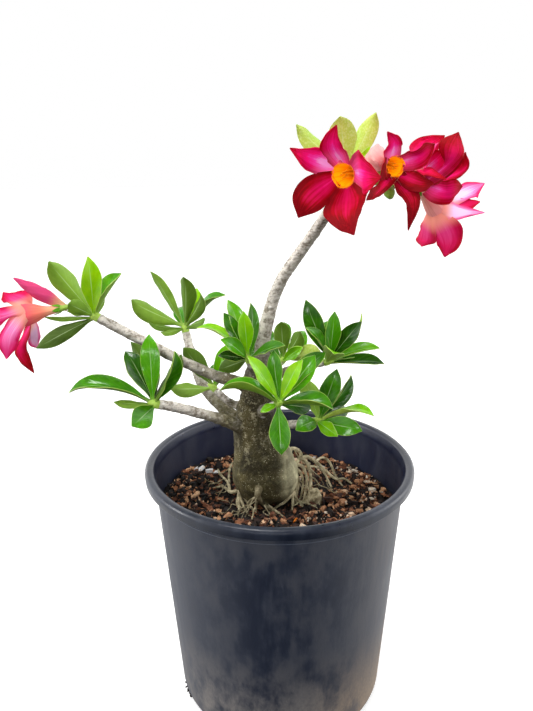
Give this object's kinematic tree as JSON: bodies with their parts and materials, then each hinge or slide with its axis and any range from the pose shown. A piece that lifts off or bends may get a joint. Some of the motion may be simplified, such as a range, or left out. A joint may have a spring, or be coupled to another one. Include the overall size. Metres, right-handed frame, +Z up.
{
  "type": "potted desert rose",
  "caption": "Desert rose adenium with a swollen trunk, bare roots, leaf rosettes and pink trumpet flowers, planted in bark mix in a round black nursery pot.",
  "frame": {"origin": "middle of the pot's flat underside, on the floor", "axes": "+Z up along the pot's axis, -Y towards the side from which the plant is shown, +X to the right from there"},
  "size_m": [0.3433, 0.216, 0.4622],
  "materials": {
    "pot": "matte black with dust",
    "soil": "loose bark chips and peat",
    "bark": "smooth grey-green bark with pale scars",
    "leaf": "glossy green",
    "petal": "soft satin"
  },
  "bodies": {
    "root": {"nursery_pot": "pot", "potting_mix": "soil", "trunk_and_roots": "bark", "left_flowering_shoot_leaves": "leaf", "back_left_shoot_leaves": "leaf", "low_left_shoot_leaves": "leaf", "twig_leaves": "leaf", "trunk_shoot_leaves": "leaf", "front_shoot_leaves": "leaf", "high_right_shoot_leaves": "leaf", "low_right_shoot_leaves": "leaf", "rear_shoot_leaves": "leaf", "crown_leaves_and_stalks": "leaf", "crown_front_bloom": "petal", "crown_middle_bloom": "petal", "crown_right_bloom": "petal", "crown_low_bloom": "petal", "left_bloom": "petal", "crown_bud": "petal", "left_bud": "petal"}
  },
  "joints": []
}
